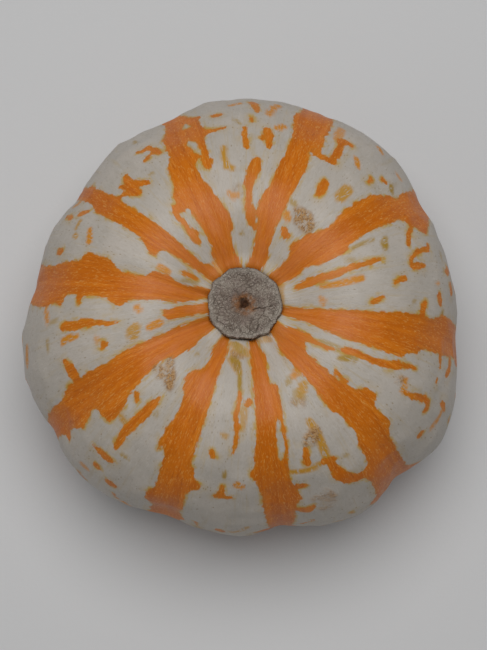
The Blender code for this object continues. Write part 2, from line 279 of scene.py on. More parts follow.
# Bold orange flecks and strands: strength, then (azimuth, t, half-width) along each.
FLECKS = (
    # between stripes 10 and 1
    (.85, ((17.2, .093, .4), (17.6, .103, .8), (17.4, .12, 1.0), (17.0, .137, 1.0), (16.9, .152, .85),
           (17.0, .17, .75), (17.5, .20, .72), (17.8, .225, .6), (18.0, .246, .3))),
    (.95, ((.2, .218, .6), (1.3, .226, .65), (2.3, .235, .4))),
    (.85, ((7.6, .258, .45), (8.6, .268, .65), (9.4, .28, .6))),
    (1.0, ((13.3, .302, .75), (13.4, .32, .75), (13.5, .335, .5))),
    (1.0, ((13.6, .300, .5), (15.6, .302, .5), (17.0, .311, .65), (18.0, .325, .6), (18.2, .34, .5),
           (18.3, .351, .65), (19.6, .357, .6))),
    (.95, ((20.8, .307, .5), (22.5, .313, .75), (24.3, .321, .7), (26.5, .336, .6), (28.5, .34, .5))),
    (.9, ((2.3, .366, 1.0), (3.9, .364, 1.1))),
    (1.0, ((-2.6, .316, .9), (.5, .318, .85), (1.6, .322, .6))),
    (.9, ((6.6, .415, 1.2), (8.2, .413, 1.1))),
    (.8, ((11.8, .402, .8), (12.6, .416, 1.0))),
    # between stripes 1 and 2
    (.88, ((57.5, .137, .8), (59.5, .137, 1.0), (61.5, .142, .7))),
    (.9, ((55.7, .218, .6), (56.1, .23, 1.2), (56.4, .242, 1.0))),
    (.85, ((45.4, .303, .5), (45.8, .318, .6))),
    (.85, ((42.3, .342, .6), (43.5, .34, .7))),
    (.95, ((58.5, .289, .8), (60.5, .287, .8), (63.0, .286, .75), (66.5, .285, .8))),
    (.95, ((59.0, .295, .85), (59.1, .312, .95), (59.4, .328, .8), (60.2, .343, .9))),
    (.9, ((57.4, .347, .7), (59.2, .346, 1.1), (60.6, .343, 1.0))),
    (.9, ((64.6, .288, .8), (65.6, .298, .7))),
    # between stripes 2 and 3
    (.9, ((82.3, .129, .35), (84.0, .137, .8), (86.0, .147, 1.2), (87.4, .16, 1.0), (87.7, .18, .8),
          (87.8, .20, 1.0), (86.8, .213, 1.3), (85.8, .225, 1.5), (85.4, .238, 1.2))),
    (.9, ((81.0, .155, .9), (84.0, .152, .6), (86.5, .152, .9))),
    (.95, ((81.2, .268, .45), (81.6, .28, .95), (82.1, .292, 1.15), (82.6, .305, .8))),
    (.9, ((83.0, .286, .5), (85.0, .285, .35))),
    (.9, ((89.2, .264, .35), (89.6, .28, .8), (90.0, .297, .7), (90.0, .306, .4))),
    (.8, ((87.7, .323, .35), (88.0, .337, .35))),
    (.85, ((86.2, .352, .55), (86.6, .368, .85), (87.7, .389, 1.15))),
    (.85, ((97.5, .356, .75), (98.7, .359, .75))),
    # stripe 3 and its loops
    (.95, ((103.8, .247, .8), (104.8, .24, .9), (105.3, .253, .7), (104.2, .265, .8))),
    (.85, ((96.6, .312, .5), (99.0, .312, .65), (102.0, .315, .9))),
    (.88, ((127.5, .133, .7), (127.3, .145, 1.2), (127.6, .158, .7), (127.5, .17, .55), (128.0, .182, .6),
           (127.5, .193, .8))),
    # between stripes 3 and 4
    (.9, ((118.5, .313, .6), (119.2, .325, .8), (119.8, .338, .7), (120.6, .348, .6))),
    (.85, ((119.8, .327, .6), (121.8, .322, .6), (123.6, .315, .5))),
    (.85, ((120.4, .347, .7), (122.3, .346, .8), (123.6, .349, .55))),
    (1.0, ((128.2, .267, .7), (129.5, .272, .9), (131.0, .279, 1.1))),
    (1.0, ((133.3, .262, .8), (134.0, .275, 1.6), (133.5, .29, 1.7), (132.8, .303, 1.2), (132.0, .316, .6))),
    (1.0, ((135.5, .28, .9), (137.0, .288, .6), (139.5, .292, .6))),
    (.95, ((135.0, .30, .8), (135.8, .307, .5))),
    # between stripes 4 and 5
    (.85, ((147.7, .347, .7), (148.7, .354, 1.0), (149.3, .364, .75))),
    (.85, ((161.7, .357, .75), (162.3, .369, .75))),
    (.8, ((151.3, .38, .5), (150.9, .395, .7), (150.7, .408, .55))),
    (.8, ((152.4, .094, .5), (153.2, .107, .65), (153.7, .119, .5))),
    # between stripes 5 and 6
    (.9, ((189.7, .214, .3), (189.2, .228, .45), (188.2, .243, .55), (187.2, .257, .9), (187.0, .272, .95),
          (187.1, .288, 1.2), (186.6, .302, 1.1), (186.8, .31, .7))),
    (.85, ((196.2, .244, .6), (197.2, .241, .8), (197.9, .248, .55))),
    (1.0, ((197.2, .32, .8), (199.5, .316, 1.4), (201.5, .315, 1.4), (203.8, .315, 1.3))),
    # between stripes 6 and 7
    (1.0, ((228.9, .213, .35), (228.8, .225, .75), (228.6, .24, 1.05), (228.3, .255, 1.2), (227.7, .27, 1.15),
           (227.3, .285, 1.15), (226.8, .296, .9), (227.6, .308, .8), (227.4, .32, .7), (228.2, .33, .4))),
    (.8, ((220.6, .233, .6), (222.9, .24, .6))),
    (.85, ((222.6, .36, .5), (224.5, .359, .95), (226.8, .357, 1.1), (228.9, .356, .8))),
    (.85, ((226.0, .396, .85), (226.8, .396, .85))),
    (.85, ((231.3, .411, 1.1), (232.6, .415, 1.1))),
    (1.0, ((239.3, .272, .5), (239.6, .288, .35))),
    # between stripes 7 and 8
    (.88, ((267.2, .158, .4), (267.0, .175, .55), (266.3, .19, .55), (266.0, .20, .55), (266.6, .215, .75),
           (266.5, .23, .6), (266.1, .243, .35), (265.8, .26, .3))),
    (.8, ((271.6, .178, .6), (272.6, .173, .75))),
    (.8, ((257.8, .26, .7), (258.6, .268, .75))),
    (.85, ((263.2, .328, .55), (262.9, .342, .75), (262.7, .35, 1.0))),
    (.85, ((261.5, .353, .5), (264.0, .353, .5), (266.0, .352, .35))),
    # between stripes 8 and 9
    (.88, ((292.4, .267, .6), (291.8, .28, .85), (291.3, .293, .8))),
    (.95, ((297.0, .299, .9), (299.5, .301, .9))),
    (1.0, ((298.7, .306, 1.0), (299.2, .325, 1.35), (300.0, .34, 1.7), (301.5, .352, 1.6), (303.5, .36, 1.3),
           (305.5, .364, 1.2))),
    (1.0, ((286.5, .34, 1.0), (288.5, .339, .7))),
    (.85, ((285.5, .405, 1.0), (287.5, .41, 1.2), (289.5, .40, .8))),
    # between stripes 9 and 10
    (.85, ((330.6, .123, .8), (329.6, .138, .5), (330.0, .155, .42), (331.0, .17, .4))),
    (1.0, ((333.5, .185, .7), (334.8, .20, .75), (335.0, .215, .6), (335.3, .232, .7), (336.0, .25, .9),
           (336.6, .263, .9), (338.0, .275, .9), (338.8, .287, .6), (339.6, .30, .5), (339.7, .31, .3))),
    (.95, ((331.3, .306, .5), (331.7, .322, .7), (332.6, .338, .75), (333.3, .352, .8), (333.1, .36, .7))),
    (.9, ((330.0, .364, .35), (331.8, .367, .6), (333.0, .363, .6))),
    (.85, ((342.6, .402, .6), (344.0, .409, .9), (345.8, .416, .75), (348.0, .42, .6))),
    (.8, ((335.4, .405, .6), (335.0, .415, .8), (334.2, .425, .6))),
    (.85, ((324.6, .394, .8), (325.3, .392, .75))),
    (.8, ((339.4, .371, .55), (340.1, .372, .55))),
    (.9, ((343.4, .377, .35), (345.2, .375, .55), (347.3, .374, .8))),
    (.85, ((322.0, .192, .4), (321.5, .205, .5), (321.3, .215, .6))),
)

# Cream slits and holes inside the stripes.
HOLES = (
    ((106.6, .27, .5), (107.2, .285, .9), (108.0, .30, .9), (108.3, .31, .4)),
    ((106.8, .36, .7), (107.6, .362, .9), (107.3, .37, .7)),
    ((285.6, .207, .25), (285.1, .22, .5), (284.2, .24, .75), (283.8, .26, .85), (283.4, .275, .5)),
    ((66.2, .277, .35), (66.6, .283, .4)),
)

# Faint washes: kind, strength, then (azimuth, t, half-width). "o" orange, "g" golden tan, "y" olive.
WASHES = (
    ("o", .62, ((11.2, .135, .35), (10.7, .15, .5), (10.6, .17, .65), (11.0, .19, .7), (11.2, .203, .6))),
    ("o", .38, ((-1.5, .134, .5), (1.0, .134, .7), (3.0, .13, .5))),
    ("y", .9, ((22.2, .258, .8), (23.6, .259, .9), (25.0, .264, .6))),
    ("y", .6, ((26.3, .203, .3), (26.4, .22, .35), (26.3, .243, .25))),
    ("y", .35, ((21.0, .195, .6), (22.0, .187, .5))),
    ("y", .5, ((16.0, .396, .5), (17.2, .398, .5))),
    ("y", .4, ((11.3, .389, .4), (12.0, .391, .4))),
    ("o", .4, ((7.8, .36, .3), (8.3, .368, .3))),
    ("y", .4, ((1.3, .294, .4), (1.7, .298, .4))),
    ("y", .8, ((-.9, .373, .6), (0.0, .377, .5))),
    ("g", .62, ((48.0, .238, 1.3), (48.2, .258, 1.4))),
    ("y", .95, ((39.2, .345, .7), (40.3, .351, .8))),
    ("o", .6, ((51.3, .313, .5), (52.6, .322, .6), (53.6, .326, .5))),
    ("o", .40, ((61.8, .345, .8), (62.2, .365, 1.1), (62.3, .385, .9))),
    ("o", .35, ((41.5, .403, .8), (42.6, .406, .8))),
    ("o", .6, ((49.8, .402, .6), (51.3, .408, .8))),
    ("o", .5, ((62.5, .16, .7), (64.5, .165, .8))),
    ("y", .5, ((62.5, .185, .5), (65.0, .187, .5))),
    ("y", .45, ((91.6, .317, .25), (92.8, .329, .3))),
    ("o", .55, ((78.0, .324, .7), (79.5, .315, .8))),
    ("o", .6, ((82.8, .347, .6), (82.6, .362, .7), (81.6, .384, .8), (80.9, .395, .6))),
    ("g", .7, ((95.2, .227, .6), (97.4, .231, .7), (98.0, .247, .6), (97.4, .266, .5))),
    ("o", .65, ((91.3, .386, .6), (93.2, .385, .8))),
    ("o", .4, ((93.5, .182, .5), (96.0, .18, .8), (98.0, .186, .5))),
    ("y", .5, ((91.5, .121, .4), (93.0, .12, .35))),
    ("y", .4, ((124.5, .276, .35), (125.6, .278, .35))),
    ("y", .6, ((122.4, .387, .3), (122.2, .405, .3))),
    ("o", .45, ((125.5, .072, .9), (126.5, .09, .5))),
    ("g", .6, ((151.6, .345, .5), (154.0, .343, .6))),
    ("g", .8, ((157.0, .328, .5), (156.4, .337, .6))),
    ("o", .62, ((153.2, .308, .45), (155.0, .301, .6), (157.2, .294, .8))),
    ("o", .5, ((158.7, .143, .7), (157.7, .156, .7))),
    ("y", .35, ((156.0, .09, .4), (158.5, .105, .4), (160.0, .115, .4))),
    ("o", .5, ((145.8, .40, .8), (146.8, .415, .9))),
    ("o", .75, ((194.5, .15, .8), (195.5, .165, .7))),
    ("g", .6, ((194.0, .187, 1.1), (196.0, .193, 1.5), (197.3, .195, 1.2))),
    ("o", .65, ((190.9, .285, .4), (190.7, .302, .8), (191.2, .315, .6))),
    ("o", .3, ((193.4, .252, .5), (194.6, .252, .6))),
    ("o", .5, ((183.4, .181, .6), (185.3, .178, .6))),
    ("y", .45, ((189.0, .35, .35), (192.0, .351, .35))),
    ("o", .5, ((179.5, .36, .7), (182.0, .354, .6), (184.0, .347, .5))),
    ("y", .4, ((184.0, .325, .4), (184.5, .34, .4))),
    ("o", .5, ((188.5, .432, .8), (191.5, .44, 1.5))),
    ("g", .6, ((222.5, .278, .6), (225.5, .28, .7))),
    ("y", .5, ((230.5, .331, .45), (232.5, .331, .4))),
    ("o", .4, ((223.0, .43, 1.0), (224.0, .43, 1.0))),
    ("y", .3, ((232.0, .236, .4), (232.6, .24, .4))),
    ("g", .48, ((252.0, .077, 1.0), (258.0, .081, 1.5), (266.0, .084, 1.5), (274.0, .086, 1.1))),
    ("y", .55, ((257.0, .073, .6), (262.0, .078, .8), (268.0, .083, .7))),
    ("g", .40, ((257.5, .10, 1.0), (262.0, .110, 1.1), (265.5, .122, .8))),
    ("y", .75, ((259.0, .098, .8), (262.5, .106, 1.0), (264.5, .118, .6))),
    ("y", .7, ((266.0, .12, .35), (266.7, .14, .45), (267.0, .16, .35))),
    ("g", .45, ((270.3, .185, .7), (269.4, .20, .9), (268.6, .215, .8))),
    ("g", .45, ((261.0, .229, .6), (262.2, .23, .6))),
    ("y", .6, ((263.4, .296, .4), (263.4, .308, .45))),
    ("o", .65, ((267.8, .323, .85), (268.9, .326, .8))),
    ("g", .85, ((285.5, .305, .7), (289.0, .305, .7), (293.0, .303, .65), (297.0, .30, .6))),
    ("g", .85, ((298.2, .228, .8), (298.9, .25, .8), (298.4, .27, .9), (298.2, .285, .9), (298.0, .295, .8))),
    ("y", .35, ((297.0, .19, .8), (299.0, .175, .6), (301.0, .19, .6))),
    ("y", .45, ((297.2, .158, .5), (299.6, .154, .7))),
    ("g", .62, ((300.2, .184, .8), (302.5, .179, 1.1), (305.0, .172, .9))),
    ("o", .45, ((303.0, .153, .7), (306.5, .149, .9))),
    ("y", .35, ((303.4, .307, .5), (304.2, .308, .5))),
    ("y", .4, ((331.5, .15, .8), (332.5, .175, .8))),
    ("y", .75, ((328.6, .186, .5), (331.0, .197, .7), (333.6, .199, .6))),
    ("y", .5, ((331.0, .207, .4), (333.5, .205, .4))),
    ("o", .6, ((331.2, .301, .55), (334.6, .296, .55))),
    ("o", .45, ((328.5, .41, .7), (333.5, .415, .7))),
    ("y", .4, ((227.5, .122, .35), (228.6, .121, .35))),
    ("g", .40, ((294.0, .070, .8), (303.0, .073, .9))),
    ("g", .45, ((2.0, .066, .5), (9.0, .067, .7), (19.0, .068, .7), (26.0, .072, .7))),
)

# Dry, corky scabs: strength, then (azimuth, t, half-width).
SCABS = (
    (.95, ((51.0, .168, 1.7), (54.2, .171, 2.1), (57.6, .176, 1.2), (60.5, .178, .6))),
    (.65, ((218.5, .161, .8), (221.5, .167, .9))),
    (.7, ((218.5, .183, 1.1), (221.5, .185, 1.1))),
    (.9, ((225.0, .175, 1.0), (227.3, .183, 1.2), (229.0, .191, .8))),
    (.95, ((293.6, .257, .6), (295.5, .253, 1.4), (297.5, .248, 1.4), (299.2, .244, .8))),
    (.4, ((296.0, .19, .9), (298.5, .195, 1.0))),
    (.55, ((293.3, .372, .6), (294.3, .362, .5), (295.5, .38, .8))),
    (.35, ((291.0, .38, 1.4), (293.5, .395, 2.0), (292.5, .41, 1.6))),
    (.6, ((258.0, .088, .5), (262.0, .094, .7), (266.5, .092, .5))),
    (.5, ((262.0, .108, .5), (263.5, .116, .45))),
    (.35, ((91.0, .187, .5), (93.0, .193, .6), (94.5, .19, .5))),
    (.7, ((333.2, .285, .5), (334.5, .288, .55))),
)


def along(rows):
    return np.array([p[0] for p in rows], float), np.array([p[1] for p in rows], float)


def continue_stripe(number, left, right):
    """Carries a stripe on from the sides, under the fruit, to the blossom end."""
    rnd = random.Random(4100 + number)
    middle_now = (left[-1][1] + right[-1][1]) / 2.0
    half_now = (right[-1][1] - left[-1][1]) / 2.0
    furrow = FURROWS_SIDE[number]
    left, right = list(left), list(right)
    lean, wide = 0.0, 0.0
    for t in np.arange(0.475, 0.966, 0.0145):
        settle = float(smooth(0.45, 0.58, t))
        lean = 0.72 * lean + rnd.uniform(-0.9, 0.9)
        wide = 0.70 * wide + rnd.uniform(-1.15, 1.15)
        half = mix(half_now, float(np.interp(t, (0.5, 0.62, 0.75, 0.86, 0.965), (5.0, 5.2, 5.6, 7.6, 9.5))), settle)
        middle = mix(middle_now, furrow, settle)
        jag = rnd.uniform(-0.6, 0.6), rnd.uniform(-0.6, 0.6)
        if rnd.random() < 0.16:
            jag = (jag[0] - rnd.uniform(1.5, 4.0), jag[1]) if rnd.random() < 0.5 else (jag[0], jag[1] + rnd.uniform(1.5, 4.0))
        left.append((t, middle + lean - half - wide + jag[0]))
        right.append((t, middle + lean + half + wide + jag[1]))
    return left, right


def under_flecks():
    """Flecks for the sides and the underside, thinning out towards the blossom end."""
    bold, faint, dry = [], [], []
    for rib in range(RIBS):
        rnd = random.Random(7300 + 17 * rib)
        start = FURROWS_SIDE[rib]
        width = (FURROWS_SIDE[(rib + 1) % RIBS] - start) % 360.0
        made = []
        tries = 0
        while len(made) < 21 and tries < 400:
            tries += 1
            t = rnd.uniform(0.445, 0.90)
            f = rnd.uniform(0.24, 0.76)
            degree = math.radians(1.0) * float(SECTION.at(t)[0])
            if any(math.hypot((f - g) * width * degree, (t - s) * ARC) < rnd.uniform(3.2, 7.5) for g, s in made):
                continue
            made.append((f, t))
            size = rnd.choice((0.25, 0.35, 0.45, 0.6, 0.8, 1.1, 1.4))
            steps = rnd.choice((1, 1, 2, 3, 5))
            lean = rnd.uniform(-1.3, 1.3)
            a, s = start + f * width, t
            path = [(a, s, size * rnd.uniform(0.5, 0.9))]
            for _ in range(steps):
                a += (lean + rnd.uniform(-0.9, 0.9)) / degree
                s += rnd.uniform(0.003, 0.013)
                path.append((a, s, size * rnd.uniform(0.45, 1.2)))
            roll = rnd.random()
            if roll < 0.58:
                bold.append((rnd.uniform(0.82, 1.0), tuple(path)))
            elif roll < 0.93:
                faint.append((rnd.choice("oogy"), rnd.uniform(0.4, 0.75), tuple(path)))
            else:
                dry.append((rnd.uniform(0.5, 0.8), tuple(path)))
    return bold, faint, dry


def wrapped(azimuth, centre):
    return (azimuth - centre + 180.0) % 360.0 - 180.0 + centre


class Skin:
    """Distances over the skin, in millimetres, for points at (azimuth, t)."""

    def __init__(self, azimuth, t):
        self.azimuth, self.t = azimuth, t
        self.degree = math.radians(1.0) * np.maximum(np.interp(t, SECTION.t, SECTION.radius), 0.5)

    def stripe(self, left, right):
        lt, la = along(left)
        rt, ra = along(right)
        centre = (la.mean() + ra.mean()) / 2.0
        az = wrapped(self.azimuth, centre)
        top, end = max(lt[0], rt[0]), min(lt[-1], rt[-1])
        out = np.full(len(az), -3.0)
        margin = 4.0 / self.degree
        near = (az > la.min() - margin) & (az < ra.max() + margin) & (self.t > top - 0.03) & (self.t < end + 0.03)
        index = np.nonzero(near)[0]
        a, t, k = az[index], self.t[index], self.degree[index]
        lo, hi = np.interp(t, lt, la), np.interp(t, rt, ra)
        inside = (a > lo) & (a < hi) & (t > top - 0.001) & (t < end)
        best = np.full(len(index), 9.0)
        for tt, aa in ((lt, la), (rt, ra)):
            for i in range(len(tt) - 1):
                best = np.minimum(best, self._to_segment(a, t, k, (aa[i], tt[i]), (aa[i + 1], tt[i + 1])))
        best = np.minimum(best, self._to_segment(a, t, k, (la[-1], end), (ra[-1], end)))
        out[index] = np.where(inside, best, -best)
        return np.clip(out, -3.0, 3.0)

    @staticmethod
    def _to_segment(a, t, k, p, q, w0=0.0, w1=0.0):
        px, py = (p[0] - a) * k, (p[1] - t) * ARC
        dx, dy = (q[0] - p[0]) * k, (q[1] - p[1]) * ARC
        h = np.clip(-(px * dx + py * dy) / np.maximum(dx * dx + dy * dy, 1e-9), 0.0, 1.0)
        return np.hypot(px + h * dx, py + h * dy) - (w0 + (w1 - w0) * h)

    def stroke(self, path):
        centre = path[0][0]
        az = wrapped(self.azimuth, centre)
        a0, a1 = min(p[0] for p in path), max(p[0] for p in path)
        t0, t1 = min(p[1] for p in path), max(p[1] for p in path)
        margin = 6.0 / self.degree
        near = (az > a0 - margin) & (az < a1 + margin) & (self.t > t0 - 6.0 / ARC) & (self.t < t1 + 6.0 / ARC)
        index = np.nonzero(near)[0]
        a, t, k = az[index], self.t[index], self.degree[index]
        best = np.full(len(index), 9.0)
        for p, q in zip(path[:-1], path[1:]):
            best = np.minimum(best, self._to_segment(a, t, k, p, q, p[2], q[2]))
        out = np.full(len(az), -3.0)
        out[index] = np.clip(-best, -3.0, 3.0)
        return out


def soft_max(a, b, k=0.35):
    h = np.clip(0.5 + 0.5 * (a - b) / k, 0.0, 1.0)
    return a * h + b * (1.0 - h) + k * h * (1.0 - h)


def paint(azimuth, t):
    """The stripe pattern as fields over the skin: a signed distance to orange, and soft coverages."""
    skin = Skin(azimuth, t)
    bold_under, faint_under, dry_under = under_flecks()
    orange = np.full(len(azimuth), -3.0)
    vigour = np.ones(len(azimuth))
    for number, (left, right) in enumerate(STRIPES):
        orange = np.maximum(orange, skin.stripe(*continue_stripe(number, left, right)))
    orange = np.maximum(orange, skin.stripe(*CROWN_STRIPE))
    for strength, path in FLECKS + tuple(bold_under):
        d = skin.stroke(path) + 0.10
        vigour = np.where((d > orange) & (d > -1.2), strength, vigour)
        orange = soft_max(orange, d)
    for path in HOLES:
        orange = np.minimum(orange, -skin.stroke(path))
    blush, gold, olive, scab = (np.zeros(len(azimuth)) for _ in range(4))
    for kind, strength, path in WASHES + tuple(faint_under):
        cover = min(1.0, 1.35 * strength + 0.1) * smooth(-0.30, 0.30, skin.stroke(path) + 0.12)
        if kind == "o":
            blush = np.maximum(blush, cover)
        elif kind == "g":
            gold = np.maximum(gold, cover)
        else:
            olive = np.maximum(olive, cover)
    for strength, path in SCABS + tuple(dry_under):
        scab = np.maximum(scab, min(1.0, strength * 1.25) * smooth(-0.45, 0.45, skin.stroke(path) + 0.2))
    return orange, vigour, blush, gold, olive, scab


# ------------------------------------------------------------- mesh building
def mesh_object(name, verts, faces, smooth_shade=True):
    mesh = bpy.data.meshes.new(name)
    mesh.from_pydata(verts.tolist(), [], faces)
    mesh.validate()
    if smooth_shade:
        mesh.shade_smooth()
    obj = bpy.data.objects.new(name, mesh)
    bpy.context.scene.collection.objects.link(obj)
    return obj


def add_field(mesh, name, values):
    if values.ndim == 1:
        mesh.attributes.new(name, "FLOAT", "POINT").data.foreach_set("value", values.astype(np.float32))
    else:
        mesh.attributes.new(name, "FLOAT_VECTOR", "POINT").data.foreach_set("vector", values.astype(np.float32).ravel())


def ring_faces(rows, columns):
    """Quads of a closed body of rings with a pole vertex at each end; vertices run pole, rings, pole."""
    faces = []
    last = 1 + (rows - 1) * columns
    for j in range(columns):
        k = (j + 1) % columns
        faces.append((0, 1 + j, 1 + k))
        base = 1 + (rows - 2) * columns
        faces.append((base + j, last, base + k))
    for i in range(rows - 2):
        a, b = 1 + i * columns, 1 + (i + 1) * columns
        for j in range(columns):
            k = (j + 1) % columns
            faces.append((a + j, b + j, b + k, a + k))
    return faces


# --------------------------------------------------------------------- stem
def stem_outline(angle):
    """Radius of the ten-cornered stem at these azimuths (degrees)."""
    rel = (angle - FURROWS_TOP[0]) % 360.0
    starts = np.append((FURROWS_TOP - FURROWS_TOP[0]) % 360.0, 360.0)
    side = np.clip(np.searchsorted(starts, rel, side="right") - 1, 0, RIBS - 1)
    f = (rel - starts[side]) / (starts[side + 1] - starts[side])
    corner = mix(STEM_CORNER_RADII[side], STEM_CORNER_RADII[(side + 1) % RIBS], f)
    return corner * mix(1.0, STEM_FLAT, 4.0 * f * (1.0 - f)), f


def worn_outline(angle):
    """The stem's outline with its corners worn round and small chips along the edge."""
    total, weight = 0.0, 0.0
    for shift in np.linspace(-6.0, 6.0, 7):
        w = math.exp(-((shift / 2.0) ** 2))
        total, weight = total + w * stem_outline(angle + shift)[0], weight + w
    a = np.radians(angle)
    round_it = np.stack([9.0 * np.cos(a), 9.0 * np.sin(a), 0.0 * a], axis=-1)
    chips = 0.15 * value_noise(round_it, 2.6, 81) + 0.13 * value_noise(round_it, 0.9, 82)
    return total / weight + chips - 0.15


def stem_axis():
    """Where the stem's axis stands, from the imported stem's own box."""
    low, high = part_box("stem")
    a = np.arange(0.0, 360.0, 0.5)
    r, _ = stem_outline(a)
    x, y = r * np.cos(np.radians(a)), r * np.sin(np.radians(a))
    return (
        (low.x + high.x) / 2.0 / MM - (x.min() + x.max()) / 2.0,
        (low.y + high.y) / 2.0 / MM - (y.min() + y.max()) / 2.0,
    )


STEM_X, STEM_Y = (round(c, 1) for c in stem_axis())
STEM_LOW, STEM_HIGH = (corner.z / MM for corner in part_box("stem"))


# -------------------------------------------------------------------- fruit
def furrow_fade(t):
    return np.interp(
        t, (0.0, 0.06, 0.16, 0.30, SECTION.equator, 0.70, 0.80, 0.88, 0.95, 1.0),
        (0.0, 0.40, 0.48, 0.72, 1.0, 1.05, 0.85, 0.45, 0.08, 0.0),
    )


def make_fruit():
    columns = RIBS * COLUMNS_PER_RIB
    # rings of the mesh, closer together where the skin meets the stem
    fine = np.linspace(0.0, 1.0, 6001)
    meet = float(np.interp(9.2, SECTION.radius[:1200], SECTION.t[:1200]))
    pace = 1.0 + 3.0 * np.exp(-((fine - meet) / 0.011) ** 2)
    run = np.concatenate([[0.0], np.cumsum((pace[1:] + pace[:-1]) / 2.0)])
    t = np.interp(np.linspace(0.0, 1.0, ROWS + 1), run / run[-1], fine)
    bend = smooth(0.10, 0.42, t)[:, None]
    furrows = mix(FURROWS_TOP[None, :], FURROWS_SIDE[None, :], bend)
    widths = (np.roll(furrows, -1, axis=1) - furrows) % 360.0
    rib = np.repeat(np.arange(RIBS), COLUMNS_PER_RIB)
    fraction = np.tile(np.arange(COLUMNS_PER_RIB) / COLUMNS_PER_RIB, RIBS)
    angle = furrows[:, rib] + fraction[None, :] * widths[:, rib]
    width = widths[:, rib]

    radius, height, out_r, out_z = (v[:, None] for v in SECTION.at(t))
    middles = FURROWS_SIDE + ((np.roll(FURROWS_SIDE, -1) - FURROWS_SIDE) % 360.0) / 2.0
    reach = closed_curve(middles, RIB_REACH, angle) / EQUATOR_RADIUS
    spread = (smooth(0.06, SECTION.equator * 0.92, t) * (1.0 - smooth(0.80, 1.0, t)))[:, None]
    away = np.minimum(fraction, 1.0 - fraction)[None, :] * width
    rounded = np.hypot(away, FURROW_SOFTNESS) - FURROW_SOFTNESS
    full = np.hypot(width / 2.0, FURROW_SOFTNESS) - FURROW_SOFTNESS
    swell = 1.0 - (1.0 - rounded / full) ** 2.1
    depth = mix(FURROW_DEPTHS[rib], FURROW_DEPTHS[(rib + 1) % RIBS], fraction)[None, :]
    sink = depth * (1.0 - swell) * furrow_fade(t)[:, None]
    r = radius * (1.0 + (reach - 1.0) * spread) - sink * out_r
    z = height - sink * out_z
    a = np.radians(angle)
    where = np.stack([r * np.cos(a), r * np.sin(a), z + 0.0 * a], axis=-1)

    # Uneven growth: broad, shallow lumps and finer ones, fading out where the fruit stands.
    calm = 1.0 - 0.85 * np.exp(-((t[:, None] - 0.80) / 0.05) ** 2)
    run_down = np.broadcast_to(t[:, None] * ARC, angle.shape)
    drawn = np.stack([r * np.cos(a), r * np.sin(a), 0.3 * run_down], axis=-1)
    lumps = (
        0.58 * value_noise(where, 17.0, 3) + 0.24 * value_noise(where, 7.5, 5) + 0.07 * value_noise(where, 3.2, 9)
        + 0.16 * value_noise(drawn, 5.0, 12)
    )
    # the flanks have a few broad facets with soft ridges between them
    flank = (smooth(0.26, 0.40, t) * (1.0 - smooth(0.62, 0.76, t)))[:, None]
    facets = 0.50 * np.abs(value_noise(where, 9.0, 14)) + 0.26 * np.abs(value_noise(drawn, 4.2, 15))
    lumps = lumps + flank * (0.16 - facets)
    orange, vigour, blush, gold, olive, scab = (
        f.reshape(angle.shape) for f in paint((angle % 360.0).ravel(), np.repeat(t, columns))
    )
    crust = value_noise(where, 0.9, 21) + 0.6 * value_noise(where, 0.45, 22)
    push = lumps * calm + scab * (0.10 + 0.05 * crust)

    # The skin swells against the stem, most of all on each rib, and drops away beneath it.
    high = t[:, None] < 0.3
    push = push + high * (1.00 + 0.34 * swell) * np.exp(-((r - 9.7) / 1.6) ** 2)
    r = r + push * out_r
    z = z + push * out_z
    seat = worn_outline(angle % 360.0) * STEM_WALL
    under_stem = (1.0 - smooth(0.985, 1.022, r / seat)) * high
    z = z + (54.1 - z) * under_stem

    # Blossom end: a small corky disc with a raised rim and a nub in the middle.
    low = t[:, None] > 0.8
    z = z - low * (0.38 * np.exp(-((r - 4.3) / 0.55) ** 2) + 0.55 * np.exp(-((r / 1.1) ** 2)))
    z = z + low * 0.30 * (1.0 - smooth(3.0, 4.2, r))
    scar = low * (1.0 - smooth(3.9, 5.1, r + 0.35 * value_noise(where, 1.6, 31)))
    z = np.where(low, np.maximum(z, 0.0), z)

    x = STEM_X + r * np.cos(a)
    y = STEM_Y + r * np.sin(a)
    grid = np.stack([x, y, z], axis=-1)
    rings = grid[1:-1].reshape(-1, 3)
    top, end = grid[0].mean(0)[None, :], grid[-1].mean(0)[None, :]
    verts = np.concatenate([top, rings, end]) * MM
    obj = mesh_object("fruit_skin", verts, ring_faces(ROWS, columns))

    def spread_out(field):
        return np.concatenate([[field[0].mean()], field[1:-1].ravel(), [field[-1].mean()]])

    mesh = obj.data
    add_field(mesh, "orange", spread_out(orange))
    add_field(mesh, "vigour", spread_out(vigour))
    add_field(mesh, "blush", spread_out(blush))
    add_field(mesh, "gold", spread_out(gold))
    add_field(mesh, "olive", spread_out(olive))
    add_field(mesh, "scab", spread_out(scab))
    add_field(mesh, "scar", spread_out(scar))
    add_field(mesh, "crest", spread_out(swell * np.ones_like(z)))
    # Seamless place on the rind: round the fruit, and down it, both in millimetres.
    rind = np.stack([54.0 * np.cos(a), 54.0 * np.sin(a), np.broadcast_to(t[:, None] * ARC, a.shape)], axis=-1)
    rind = np.concatenate([[[0.0, 0.0, 0.0]], rind[1:-1].reshape(-1, 3), [[0.0, 0.0, ARC]]])
    add_field(mesh, "rind", rind)

